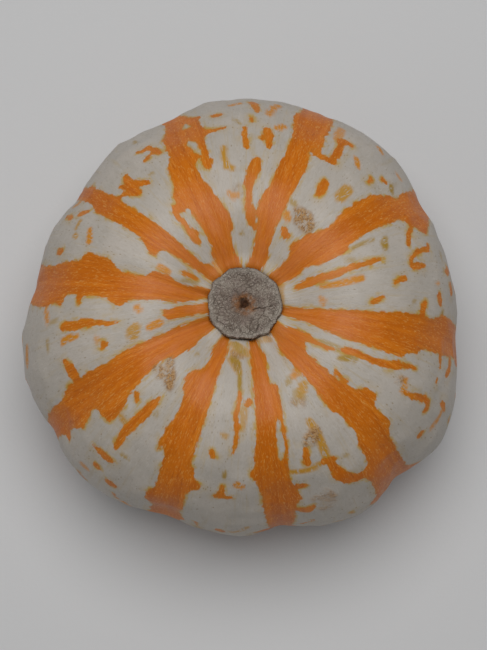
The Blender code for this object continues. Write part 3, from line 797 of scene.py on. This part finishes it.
    # Two strips, each half way round, cut along furrows.
    layer = mesh.uv_layers.new(name="OFBake")
    loops = np.empty(len(mesh.loops), np.int64)
    mesh.loops.foreach_get("vertex_index", loops)
    starts = np.empty(len(mesh.polygons), np.int64)
    totals = np.empty(len(mesh.polygons), np.int64)
    mesh.polygons.foreach_get("loop_start", starts)
    mesh.polygons.foreach_get("loop_total", totals)
    face_of = np.repeat(np.arange(len(starts)), totals)
    ring = np.clip((loops - 1) // columns + 1, 0, ROWS)
    ring = np.where(loops == 0, 0, ring)
    column = (loops - 1) % columns
    pole = (ring == 0) | (ring == ROWS)
    first = np.full(len(starts), columns * 2)
    np.minimum.at(first, face_of[~pole], column[~pole])
    most = np.full(len(starts), -1)
    np.maximum.at(most, face_of[~pole], column[~pole])
    wraps = (most - first) > columns // 2
    column = np.where(wraps[face_of] & (column == 0) & ~pole, columns, column).astype(float)
    face_first = np.where(wraps, columns - 1, first)
    column = np.where(pole, face_first[face_of] + 0.5, column)
    half = (face_first[face_of] >= columns // 2).astype(float)
    u = 0.004 + 0.992 * (column - half * columns / 2) / (columns / 2)
    v = 0.5 * half + 0.004 + 0.492 * (1.0 - ring / ROWS)
    layer.data.foreach_set("uv", np.stack([u, v], axis=-1).astype(np.float32).ravel())
    return obj


# Cracks in the stem's cut face: (x, y) in millimetres from its axis, and depth.
CRACKS = (
    (0.22, ((6.4, -0.6), (5.4, -0.8), (4.4, -0.9), (3.4, -0.8), (2.2, -1.3))),
    (0.15, ((4.6, -0.9), (4.3, -2.4), (3.2, -3.6), (3.4, -5.0), (2.6, -6.6))),
    (0.10, ((3.2, -3.6), (1.8, -4.2), (1.2, -5.6), (1.6, -7.2))),
    (0.10, ((4.2, -2.6), (5.6, -3.2), (6.4, -4.4))),
    (0.07, ((-1.0, 1.9), (-2.2, 3.4), (-2.4, 4.6), (-3.6, 6.0))),
    (0.06, ((1.2, 2.2), (1.5, 3.6), (0.7, 4.9), (1.2, 6.6))),
    (0.06, ((-2.4, -0.5), (-3.8, -1.3), (-5.2, -1.0), (-6.8, -1.6))),
)


def make_stem():
    """A flared, ten-cornered stub with a corky cut face, checks and a pith hollow."""
    columns = 360
    face_rings, side_rings = 62, 34
    angle = np.arange(columns) * 360.0 / columns
    outline, f = worn_outline(angle), stem_outline(angle)[1]
    ridge = np.exp(-(np.minimum(f, 1.0 - f) / 0.10) ** 2)       # 1 at a corner
    rings = []
    for i in range(1, face_rings + 1):                          # cut face, from the pith outwards
        rings.append((0.965 * (i / face_rings) ** 0.85, 0.0, 0.0))
    wall = ((0.985, 0.10), (0.998, 0.28), (1.0, 0.5), (0.996, 0.8), (0.985, 1.1), (0.97, 1.45),
            (0.957, 1.8), (STEM_WALL, 2.3), (STEM_WALL, 6.0))
    depth = STEM_HIGH - STEM_LOW
    s = np.linspace(0.0, 1.0, side_rings)
    ws, wd = np.array([w[0] for w in wall]), np.array([w[1] for w in wall])
    drop = np.concatenate([np.linspace(0.1, 3.0, side_rings - 8), np.linspace(3.25, depth - 0.35, 8)])
    for d in drop:
        rings.append((float(np.interp(d, wd, ws)), float(d), 1.0))
    for scale in (0.90, 0.72, 0.45, 0.2):                       # underside, out of sight in its seat
        rings.append((scale, depth, 1.0))
    scale = np.array([q[0] for q in rings])[:, None]
    down = np.array([q[1] for q in rings])[:, None]
    side = np.array([q[2] for q in rings])[:, None]

    fluted = 1.0 - side * 0.012 * (1.0 - ridge[None, :]) * smooth(0.3, 2.0, down) * (down < depth - 0.3)
    r = scale * outline[None, :] * fluted
    a = np.radians(angle)[None, :]
    x, y = r * np.cos(a), r * np.sin(a)
    z = STEM_HIGH - 0.42 - down + 0.0 * a
    where = np.stack([x, y, z], axis=-1)

    on_face = 1.0 - side
    rim = np.clip(r / outline[None, :], 0.0, 1.0)
    cork = (
        0.17 * value_noise(where, 2.3, 41) + 0.07 * value_noise(where, 0.95, 42)
        + 0.06 * value_noise(where, 0.5, 43) + 0.06 * value_noise(where, 0.3, 44)
    )
    # fibres run outwards over the cut face
    fibre = value_noise(np.stack([r * 0.35, (angle[None, :] + 0.0 * r) * 0.09, 0.0 * r], axis=-1), 0.5, 47)
    lift = cork + 0.05 * fibre * smooth(0.25, 0.6, rim)
    lift = lift + 0.16 * smooth(0.86, 0.95, rim) - 0.10 * np.exp(-((rim - 0.80) / 0.10) ** 2)
    crack = np.zeros_like(r)
    wx = x + 0.34 * value_noise(where, 1.1, 51) + 0.12 * value_noise(where, 0.45, 53)
    wy = y + 0.34 * value_noise(where, 1.1, 52) + 0.12 * value_noise(where, 0.45, 54)
    for deep, path in CRACKS:
        for p, q in zip(path[:-1], path[1:]):
            dx, dy = q[0] - p[0], q[1] - p[1]
            h = np.clip(((wx - p[0]) * dx + (wy - p[1]) * dy) / (dx * dx + dy * dy), 0.0, 1.0)
            d = np.hypot(wx - p[0] - h * dx, wy - p[1] - h * dy)
            crack = np.maximum(crack, deep / 0.22 * (1.0 - smooth(0.04, 0.17, d)))
    lift = lift - 0.26 * crack
    # the pith has dried out to a ragged pit, off round, with a torn brown edge
    ragged = np.hypot(x / 1.1, y) + 0.50 * value_noise(where, 1.2, 61) + 0.30 * value_noise(where, 0.5, 62)
    pit = 1.0 - smooth(0.35, 1.65, ragged)
    lift = lift - 1.5 * pit ** 1.2 - 0.30 * (1.0 - smooth(1.6, 4.6, ragged)) + 0.08 * np.exp(-((ragged - 2.1) / 0.45) ** 2)
    z = z + lift * on_face
    # bark on the wall: upright grooves and flaking
    bark = 0.10 * value_noise(np.stack([x, y, z * 0.3], axis=-1), 0.7, 71) + 0.06 * value_noise(where, 0.5, 72)
    grow = 1.0 + side * bark / np.maximum(r, 1.0) * (down < depth - 0.3) * smooth(0.0, 0.4, down)
    x, y = x * grow, y * grow
    z = np.minimum(z, STEM_HIGH + 0.12)

    verts = np.stack([STEM_X + x, STEM_Y + y, z], axis=-1).reshape(-1, 3)
    z[-1] = STEM_LOW
    top = np.array([[STEM_X, STEM_Y, z[0].mean()]])
    end = np.array([[STEM_X, STEM_Y, STEM_LOW]])
    verts = np.stack([STEM_X + x, STEM_Y + y, np.maximum(z, STEM_LOW)], axis=-1).reshape(-1, 3)
    verts = np.concatenate([top, verts, end]) * MM
    obj = mesh_object("stem_stub", verts, ring_faces(len(rings) + 1, columns))
    mesh = obj.data

    def spread_out(field):
        field = np.broadcast_to(field, r.shape)
        return np.concatenate([[field[0].mean()], field.ravel(), [field[-1].mean()]])

    add_field(mesh, "crack", spread_out(crack * on_face))
    add_field(mesh, "pith", spread_out(ragged * on_face + 9.0 * side))
    add_field(mesh, "rim", spread_out(rim * on_face))
    add_field(mesh, "wall", spread_out(side * smooth(0.1, 0.6, down)))
    return obj


# ---------------------------------------------------------------- materials
class Graph:
    """Short words for building a material's nodes."""

    def __init__(self, name):
        self.material = bpy.data.materials.new(name)
        self.material.use_nodes = True
        self.tree = self.material.node_tree
        self.shader = self.tree.nodes["Principled BSDF"]

    def node(self, kind, **settings):
        made = self.tree.nodes.new(kind)
        for key, value in settings.items():
            setattr(made, key, value)
        return made

    def put(self, value, socket):
        if isinstance(value, bpy.types.NodeSocket):
            self.tree.links.new(value, socket)
        elif isinstance(value, tuple) and len(value) == 3 and socket.type == "RGBA":
            socket.default_value = (*value, 1.0)
        else:
            socket.default_value = value

    def field(self, name, vector=False):
        made = self.node("ShaderNodeAttribute", attribute_name=name)
        return made.outputs["Vector" if vector else "Fac"]

    def math(self, operation, a, b=0.0, clamp=False):
        made = self.node("ShaderNodeMath", operation=operation, use_clamp=clamp)
        self.put(a, made.inputs[0])
        self.put(b, made.inputs[1])
        return made.outputs[0]

    def add(self, *terms):
        total = terms[0]
        for term in terms[1:]:
            total = self.math("ADD", total, term)
        return total

    def times(self, a, b):
        return self.math("MULTIPLY", a, b)

    def scale(self, vector, by):
        made = self.node("ShaderNodeVectorMath", operation="MULTIPLY")
        self.put(vector, made.inputs[0])
        made.inputs[1].default_value = by
        return made.outputs[0]

    def noise(self, vector, size, detail=2.0, rough=0.5, distortion=0.0):
        """Noise in 0..1; size is the number of features to a unit of the vector."""
        made = self.node("ShaderNodeTexNoise")
        self.put(vector, made.inputs["Vector"])
        made.inputs["Scale"].default_value = size
        made.inputs["Detail"].default_value = detail
        made.inputs["Roughness"].default_value = rough
        made.inputs["Distortion"].default_value = distortion
        return made.outputs["Fac"]

    def cells(self, vector, size, feature="F1", output="Distance", randomness=1.0):
        made = self.node("ShaderNodeTexVoronoi", feature=feature)
        self.put(vector, made.inputs["Vector"])
        made.inputs["Scale"].default_value = size
        made.inputs["Randomness"].default_value = randomness
        return made.outputs[output]

    def step(self, value, low, high, to_low=0.0, to_high=1.0):
        made = self.node("ShaderNodeMapRange", interpolation_type="SMOOTHSTEP")
        self.put(value, made.inputs["Value"])
        for socket, number in zip(("From Min", "From Max", "To Min", "To Max"), (low, high, to_low, to_high)):
            self.put(number, made.inputs[socket])
        return made.outputs["Result"]

    def blend(self, factor, a, b):
        made = self.node("ShaderNodeMix", data_type="RGBA")
        self.put(factor, made.inputs[0])
        self.put(a, made.inputs[6])
        self.put(b, made.inputs[7])
        return made.outputs[2]

    def bump(self, height, distance, strength=1.0, normal=None):
        made = self.node("ShaderNodeBump")
        made.inputs["Strength"].default_value = strength
        made.inputs["Distance"].default_value = distance
        self.put(height, made.inputs["Height"])
        if normal is not None:
            self.put(normal, made.inputs["Normal"])
        return made.outputs["Normal"]

    def finish(self, colour, roughness, normal, specular=0.5):
        self.put(colour, self.shader.inputs["Base Color"])
        self.put(roughness, self.shader.inputs["Roughness"])
        self.put(normal, self.shader.inputs["Normal"])
        self.shader.inputs["Specular IOR Level"].default_value = specular
        return self.material


def skin_material():
    g = Graph("striped_rind")
    rind = g.field("rind", vector=True)
    drawn = g.scale(rind, (1.0, 1.0, 0.22))          # features drawn out along the ribs
    long_drawn = g.scale(rind, (1.0, 1.0, 0.10))

    # ragged edge of the stripes
    waver = g.add(
        g.field("orange"),
        g.times(g.math("SUBTRACT", g.noise(rind, 0.55, 3.0, 0.55), 0.5), 1.5),
        g.times(g.math("SUBTRACT", g.noise(drawn, 2.3, 2.0, 0.6), 0.5), 0.6),
    )
    orange = g.step(waver, -0.16, 0.20)
    core = g.step(waver, 0.3, 2.4)

    # cream ground
    cream = g.blend(g.step(g.noise(rind, 0.10, 2.0), 0.38, 0.62), (0.452, 0.408, 0.352), (0.480, 0.430, 0.372))
    cream = g.blend(g.step(g.noise(long_drawn, 0.7, 3.0, 0.6), 0.53, 0.74, 0.0, 0.45), cream, (0.440, 0.340, 0.190))
    cream = g.blend(g.step(g.noise(rind, 0.5, 4.0, 0.65), 0.50, 0.68, 0.0, 0.30), cream, (0.375, 0.325, 0.262))
    veins = g.step(g.noise(drawn, 2.0, 3.0, 0.65), 0.55, 0.70, 0.0, 0.28)
    cream = g.blend(veins, cream, (0.320, 0.272, 0.215))
    light = g.step(g.noise(g.scale(rind, (1.0, 1.0, 0.35)), 1.4, 3.0, 0.65), 0.56, 0.70, 0.0, 0.35)
    cream = g.blend(light, cream, (0.560, 0.515, 0.460))
    patches = g.step(g.noise(rind, 0.22, 3.0, 0.6), 0.46, 0.62)
    speck = g.step(g.cells(g.scale(rind, (1.0, 1.0, 0.7)), 0.95), 0.09, 0.27, 1.0, 0.0)
    speck = g.times(speck, g.math("ADD", g.times(patches, 0.50), 0.13))
    cream = g.blend(speck, cream, (0.235, 0.160, 0.075))

    # orange with pale meridional flecks and darker dots
    tone = g.blend(g.step(g.noise(long_drawn, 0.5, 3.0, 0.6), 0.36, 0.66), (0.505, 0.124, 0.003), (0.615, 0.172, 0.006))
    tone = g.blend(g.times(core, 0.3), tone, (0.560, 0.128, 0.002))
    pale = g.step(g.noise(drawn, 2.7, 2.0, 0.65), 0.55, 0.68, 0.0, 0.42)
    tone = g.blend(pale, tone, (0.720, 0.330, 0.075))
    apart = g.node("ShaderNodeSeparateXYZ")
    g.put(rind, apart.inputs[0])
    outwards = g.step(apart.outputs[2], 18.0, 42.0, 0.15, 1.0)
    dashes = g.step(g.noise(g.scale(rind, (1.0, 1.0, 0.42)), 1.9, 2.0, 0.6), 0.58, 0.69, 0.0, 0.52)
    tone = g.blend(g.times(dashes, outwards), tone, (0.700, 0.345, 0.085))
    dark = g.step(g.noise(drawn, 1.4, 2.0, 0.6), 0.40, 0.30, 0.0, 0.50)
    tone = g.blend(dark, tone, (0.390, 0.086, 0.002))
    # painted shade: the orange turns darker and browner on the steep dip into the stem
    tone = g.blend(g.step(apart.outputs[2], 16.0, 9.0, 0.0, 0.60), tone, (0.420, 0.132, 0.022))
    # painted sheen: the orange turns paler and salmon over the crown's inner slope and crest, where the overhead
    # light's reflection falls
    painted_sheen = g.times(g.step(apart.outputs[2], 10.0, 15.0), g.step(apart.outputs[2], 33.0, 20.0))
    tone = g.blend(g.times(painted_sheen, g.step(g.noise(rind, 0.16, 2.0), 0.36, 0.58, 0.12, 0.42)), tone, (0.600, 0.195, 0.060))
    thin = g.times(g.step(waver, 0.75, 0.0), g.step(g.noise(rind, 0.8, 3.0, 0.6), 0.36, 0.60, 0.15, 0.85))
    tone = g.blend(thin, tone, (0.480, 0.182, 0.012))
    weak = g.math("SUBTRACT", 1.0, g.field("vigour"))
    tone = g.blend(weak, tone, (0.530, 0.225, 0.026))

    # fringe of dull yellow where orange meets cream, broken up
    near = g.times(g.step(waver, -0.95, -0.05), g.step(g.noise(rind, 0.30, 2.0), 0.44, 0.62, 0.0, 0.75))
    near = g.math("ADD", near, g.times(g.step(waver, -2.6, -0.3), g.times(patches, 0.22)), clamp=True)
    colour = g.blend(near, cream, (0.480, 0.300, 0.055))

    # washes
    mottle = g.step(g.noise(g.scale(rind, (1.0, 1.0, 0.4)), 1.6, 3.0, 0.65), 0.28, 0.50)
    colour = g.blend(g.times(g.field("gold"), mottle), colour, (0.480, 0.242, 0.030))
    colour = g.blend(g.times(g.field("olive"), mottle), colour, (0.360, 0.215, 0.028))
    colour = g.blend(g.times(g.math("MULTIPLY", g.field("blush"), 1.25, clamp=True), mottle), colour, (0.580, 0.225, 0.018))
    colour = g.blend(orange, colour, tone)

    # dry scabs, and the blossom scar
    crust = g.noise(g.scale(rind, (0.7, 0.7, 1.4)), 1.6, 4.0, 0.7)
    bark = g.blend(g.step(crust, 0.34, 0.62), (0.250, 0.118, 0.040), (0.500, 0.300, 0.135))
    eaten = g.times(g.step(g.noise(rind, 1.0, 3.0, 0.6), 0.30, 0.48), g.step(g.noise(rind, 0.42, 3.0, 0.6), 0.40, 0.50, 0.35, 1.0))
    scab = g.times(g.field("scab"), eaten)
    colour = g.blend(scab, colour, bark)
    scar = g.times(g.field("scar"), 0.92)
    colour = g.blend(scar, colour, g.blend(g.step(crust, 0.40, 0.62), (0.10, 0.065, 0.035), (0.30, 0.215, 0.130)))

    dry = g.math("MAXIMUM", scab, scar)
    fine = g.noise(rind, 1.4, 3.0, 0.6)
    rough = g.add(g.step(fine, 0.3, 0.7, 0.36, 0.46), g.times(dry, 0.34))
    relief = g.add(
        g.times(fine, 0.55),
        g.times(g.noise(rind, 0.45, 2.0), 0.9),
        g.times(g.noise(drawn, 2.7, 2.0, 0.65), 0.35),
        g.times(g.times(crust, dry), 2.2),
    )
    return g.finish(colour, rough, g.bump(relief, 0.00012), 0.21)


def stem_material():
    g = Graph("dry_cork")
    where = g.node("ShaderNodeNewGeometry").outputs["Position"]
    place = g.scale(where, (1000.0, 1000.0, 1000.0))
    pith, rim, wall, crack = (g.field(n) for n in ("pith", "rim", "wall", "crack"))
    grain = g.noise(place, 1.5, 4.0, 0.72)
    fleck = g.noise(place, 2.6, 3.0, 0.75)
    colour = g.blend(g.step(g.noise(place, 0.30, 2.0), 0.36, 0.64), (0.350, 0.300, 0.245), (0.275, 0.225, 0.182))
    colour = g.blend(g.step(g.noise(place, 0.42, 2.0), 0.48, 0.66, 0.0, 0.45), colour, (0.290, 0.215, 0.190))
    part = g.node("ShaderNodeSeparateXYZ")
    g.put(place, part.inputs[0])
    colour = g.blend(g.step(part.outputs[1], -1.0, 6.0, 0.0, 0.55), colour, (0.215, 0.172, 0.140))
    colour = g.blend(g.step(grain, 0.48, 0.30, 0.0, 0.90), colour, (0.105, 0.074, 0.052))
    colour = g.blend(g.step(fleck, 0.52, 0.66, 0.0, 0.75), colour, (0.560, 0.500, 0.425))
    colour = g.blend(g.step(g.noise(place, 3.4, 2.0, 0.7), 0.48, 0.33, 0.0, 0.75), colour, (0.100, 0.070, 0.050))
    # a net of fine checks, strongest on one side
    bent = g.node("ShaderNodeVectorMath", operation="ADD")
    wander = g.node("ShaderNodeTexNoise")
    g.put(place, wander.inputs["Vector"])
    wander.inputs["Scale"].default_value = 0.9
    g.put(place, bent.inputs[0])
    g.put(wander.outputs["Color"], bent.inputs[1])
    net = g.step(g.cells(bent.outputs[0], 0.50, "DISTANCE_TO_EDGE"), 0.01, 0.07, 1.0, 0.0)
    net = g.times(net, g.step(g.noise(place, 0.16, 1.0), 0.40, 0.60, 0.15, 0.70))
    small = g.step(g.cells(bent.outputs[0], 1.15, "DISTANCE_TO_EDGE"), 0.02, 0.13, 1.0, 0.0)
    net = g.math("MAXIMUM", net, g.times(small, g.step(g.noise(place, 0.30, 2.0), 0.38, 0.56, 0.10, 0.50)))
    colour = g.blend(net, colour, (0.095, 0.066, 0.047))
    dusk = g.times(g.step(pith, 6.4, 3.0), g.step(g.noise(place, 0.22, 2.0), 0.30, 0.62, 0.25, 0.55))
    colour = g.blend(dusk, colour, (0.180, 0.132, 0.105))
    flat = g.math("SUBTRACT", 1.0, wall)
    edge = g.times(g.times(g.step(rim, 0.80, 0.93), g.step(rim, 0.985, 0.955)), flat)
    colour = g.blend(g.times(edge, 0.40), colour, (0.470, 0.420, 0.350))
    ring = g.math("MULTIPLY", g.step(pith, 3.5, 1.5), g.step(g.noise(place, 0.9, 3.0, 0.65), 0.32, 0.58, 0.25, 1.0))
    colour = g.blend(g.times(ring, 0.85), colour, (0.270, 0.110, 0.034))
    colour = g.blend(g.step(pith, 1.75, 0.55, 0.0, 0.95), colour, (0.062, 0.024, 0.010))
    colour = g.blend(g.math("MULTIPLY", crack, 1.1, clamp=True), colour, (0.085, 0.058, 0.040))
    lip = g.times(g.step(g.math("ADD", rim, g.times(g.math("SUBTRACT", grain, 0.5), 0.12)), 0.962, 0.99), flat)
    lip = g.times(lip, g.step(g.noise(place, 0.55, 2.0), 0.40, 0.56, 0.15, 0.85))
    colour = g.blend(lip, colour, (0.150, 0.104, 0.060))
    bark = g.blend(g.step(grain, 0.40, 0.60), (0.185, 0.132, 0.080), (0.370, 0.285, 0.190))
    colour = g.blend(wall, colour, bark)
    relief = g.add(g.times(grain, 1.0), g.times(fleck, 0.9), g.times(net, -0.8))
    rough = g.step(fleck, 0.3, 0.7, 0.82, 0.96)
    return g.finish(colour, rough, g.bump(relief, 0.00030), 0.2)


def floor_material():
    g = Graph("pale_floor")
    where = g.node("ShaderNodeNewGeometry").outputs["Position"]
    tint = g.blend(g.noise(where, 7.0, 2.0), (0.60, 0.597, 0.590), (0.62, 0.617, 0.610))
    return g.finish(tint, 0.75, g.bump(g.noise(where, 900.0, 2.0), 0.00003), 0.2)


# ------------------------------------------------------------------- pieces
fruit = make_fruit()
fruit.data.materials.append(skin_material())
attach(fruit, "root")
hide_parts("pumpkin_fruit")

stem = make_stem()
stem.data.materials.append(stem_material())
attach(stem, "root")
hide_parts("stem")

# -------------------------------------------------------------------- stage
bpy.ops.mesh.primitive_plane_add(size=6.0, location=(0.0, 0.0, 0.0))
floor = bpy.context.object
floor.name = "floor"
floor.data.materials.append(floor_material())


def aim(obj, at):
    obj.rotation_euler = (Vector(at) - obj.location).to_track_quat("-Z", "Y").to_euler()


def area_light(name, location, at, size, energy, colour):
    data = bpy.data.lights.new(name, "AREA")
    data.shape = "DISK"
    data.size = size
    data.energy = energy
    data.color = colour
    obj = bpy.data.objects.new(name, data)
    obj.location = location
    bpy.context.scene.collection.objects.link(obj)
    aim(obj, at)
    return obj


area_light("key_light", (0.0, 0.17, 0.85), (0.0, 0.0, 0.04), 0.70, 5.35, (0.99, 0.99, 1.0))
area_light("fill_light", (-0.9, -0.5, 0.7), (0.0, 0.0, 0.03), 1.0, 0.7, (1.0, 0.985, 0.96))

world = bpy.data.worlds.new("studio")
world.use_nodes = True
world.node_tree.nodes["Background"].inputs["Color"].default_value = (0.92, 0.95, 1.0, 1.0)
world.node_tree.nodes["Background"].inputs["Strength"].default_value = 0.15
bpy.context.scene.world = world
bpy.context.scene.view_settings.view_transform = "Standard"

# ------------------------------------------------------------------- camera
ELEVATION = 81.0
DISTANCE = 0.42
FOCAL_PIXELS = 1667.0
FRAME_W, FRAME_H = 487, 650
STEM_AT = (244.5, 303.5)

tilt = math.radians(ELEVATION)
back = Vector((0.0, -math.cos(tilt), math.sin(tilt)))
right = Vector((1.0, 0.0, 0.0))
up = back.cross(right)
stem_top = Vector((STEM_X * MM, STEM_Y * MM, STEM_HIGH * MM))
position = Vector((STEM_X * MM, STEM_Y * MM, 0.033)) + back * DISTANCE
for _ in range(20):
    toward = stem_top - position
    away = -toward.dot(back)
    px = FRAME_W / 2 + FOCAL_PIXELS * toward.dot(right) / away
    py = FRAME_H / 2 - FOCAL_PIXELS * toward.dot(up) / away
    position -= right * (STEM_AT[0] - px) * away / FOCAL_PIXELS
    position += up * (STEM_AT[1] - py) * away / FOCAL_PIXELS

camera_data = bpy.data.cameras.new("camera")
camera_data.sensor_width = 36.0
camera_data.lens = FOCAL_PIXELS * 36.0 / FRAME_H
camera_data.clip_start = 0.01
camera = bpy.data.objects.new("camera", camera_data)
rotation = Matrix((right, up, back)).transposed().to_4x4()
camera.matrix_world = Matrix.Translation(position) @ rotation
bpy.context.scene.collection.objects.link(camera)
bpy.context.scene.camera = camera

bpy.context.view_layer.update()
